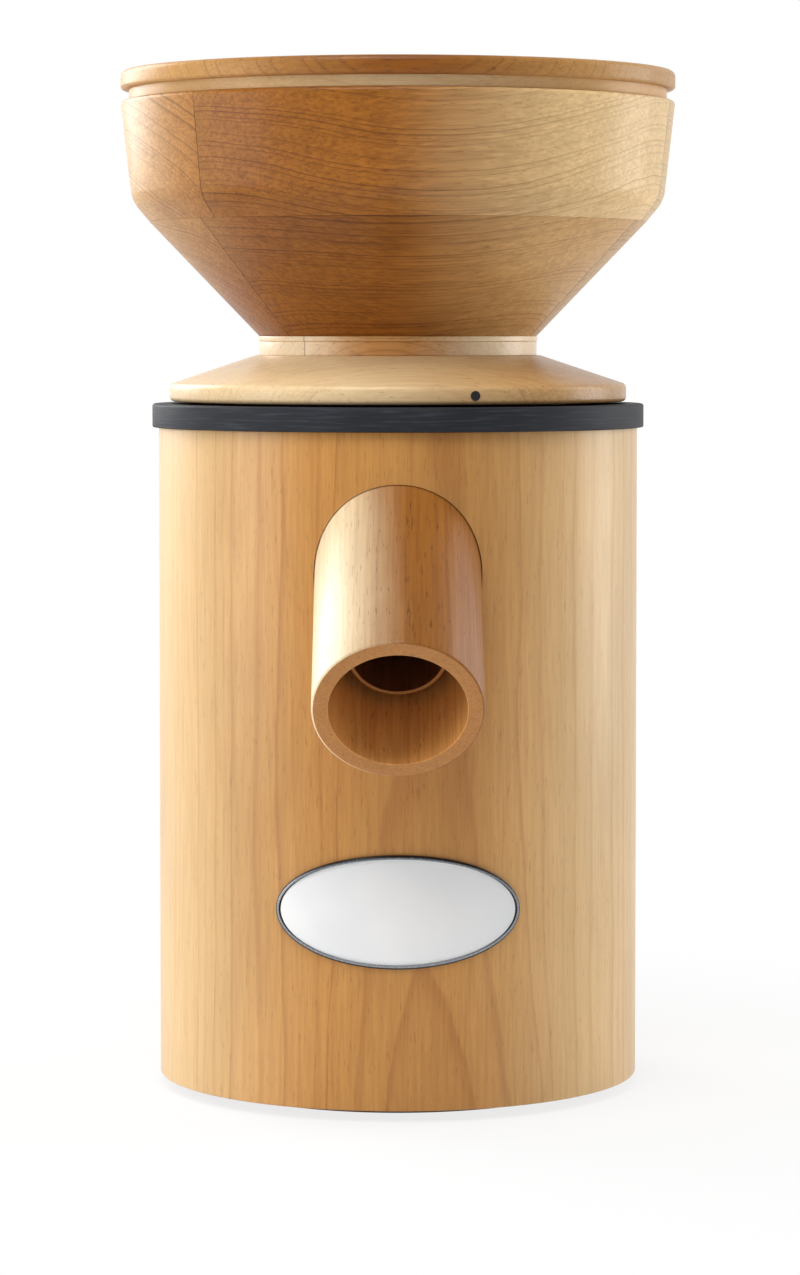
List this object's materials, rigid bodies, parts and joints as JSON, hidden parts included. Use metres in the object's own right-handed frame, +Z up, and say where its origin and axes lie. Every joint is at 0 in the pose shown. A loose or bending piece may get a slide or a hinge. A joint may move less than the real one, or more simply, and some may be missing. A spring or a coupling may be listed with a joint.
{
  "type": "electric grain mill",
  "caption": "Stone grain mill with a round wooden body, turning hopper head with lid, slanted flour spout, motor, rear switch and mains inlet.",
  "frame": {"origin": "on the mill's vertical axis at table level, in the plane of the foot ring's underside", "axes": "+Z up along the shaft; the flour spout and the bare oval plate face -Y, the switch and inlet +Y"},
  "size_m": [0.2056, 0.2649, 0.3763],
  "materials": {
    "body_wood": "oiled veneer, vertical grain",
    "hopper_wood": "turned, oiled",
    "collar_wood": "turned, oiled",
    "lid_wood": "turned, oiled",
    "lid_step_wood": "pale, oiled",
    "spout_wood": "turned, oiled",
    "plywood": "raw",
    "dark_ring": "fine turned lines",
    "black_plastic": "moulded",
    "chamber_plastic": "moulded",
    "mark_black": "polished",
    "stone": "bonded corundum",
    "felt": "felt",
    "rubber": "moulded",
    "cast_aluminium": "cast",
    "badge_metal": "satin, domed",
    "badge_rim": "polished",
    "steel": "zinc plated",
    "stack_steel": "laminated",
    "copper": "varnished wire",
    "brass": "plain",
    "capacitor_case": "moulded"
  },
  "bodies": {
    "housing": {"foot_ring": "rubber", "base_plate": "plywood", "base_blocks": "plywood", "base_screws": "steel", "housing_tube": "body_wood", "top_ring": "dark_ring", "grinding_chamber": "chamber_plastic", "chamber_screws": "steel", "guide_pins": "steel", "shaft_seal": "felt", "spout_tube": "spout_wood", "outlet_chute": "spout_wood", "spout_seal": "felt", "bearing_outer_rings": "steel", "motor_upper_bell": "cast_aluminium", "motor_lower_bell": "cast_aluminium", "stator_stack": "stack_steel", "stator_windings": "copper", "motor_bolts": "steel", "motor_nuts": "steel", "motor_screws": "steel", "capacitor": "capacitor_case", "capacitor_clip": "steel", "terminal_block": "black_plastic", "rear_panel": "black_plastic", "panel_screws": "steel", "switch_housing": "black_plastic", "inlet_housing": "black_plastic", "inlet_pins": "brass", "inlet_screws": "steel", "badge_plate": "badge_metal", "badge_bezel": "badge_rim"},
    "upper_stone_unit": {"stone_carrier": "chamber_plastic", "upper_stone": "stone", "carrier_springs": "steel"},
    "head": {"threaded_ring": "chamber_plastic", "ring_screws": "steel", "setting_dot": "mark_black", "setting_collar": "collar_wood", "neck_band": "collar_wood", "neck_shim": "collar_wood", "hopper_screws": "steel", "cone_stave_front": "hopper_wood", "cone_stave_right": "hopper_wood", "cone_stave_left": "hopper_wood", "rim_stave_front": "hopper_wood", "rim_stave_right": "hopper_wood", "rim_stave_left": "hopper_wood"},
    "lid": {"lid_disc": "lid_wood", "lid_step": "lid_step_wood"},
    "drive": {"lower_stone": "stone", "stone_driver": "cast_aluminium", "stone_washer": "steel", "stone_nut": "steel", "motor_shaft": "steel", "rotor_core": "stack_steel", "motor_fan": "black_plastic", "bearing_inner_rings": "steel"},
    "rocker": {"switch_rocker": "black_plastic"}
  },
  "joints": [
    {"name": "stone_gap", "type": "slide", "parent": "housing", "child": "upper_stone_unit", "axis": [0, 0, 1], "range_m": [-0.00026, 0.00201], "deforming": ["carrier_springs"]},
    {"name": "setting_turn", "type": "hinge", "parent": "upper_stone_unit", "child": "head", "pos_m": [0, 0, 0.25], "axis": [0, 0, 1], "range_deg": [-30, 240]},
    {"name": "lid_lift", "type": "slide", "parent": "head", "child": "lid", "axis": [0, 0, 1], "range_m": [0, 0.06]},
    {"name": "motor_spin", "type": "hinge", "parent": "housing", "child": "drive", "pos_m": [0, 0, 0.12], "axis": [0, 0, 1], "continuous": true},
    {"name": "switch_rock", "type": "hinge", "parent": "housing", "child": "rocker", "pos_m": [0, 0.0856, 0.082], "axis": [-1, 0, 0], "range_deg": [0, 20]}
  ],
  "couplings": [
    {"joint": "stone_gap", "follows": "setting_turn", "m_per_rad": 0.00047746}
  ]
}
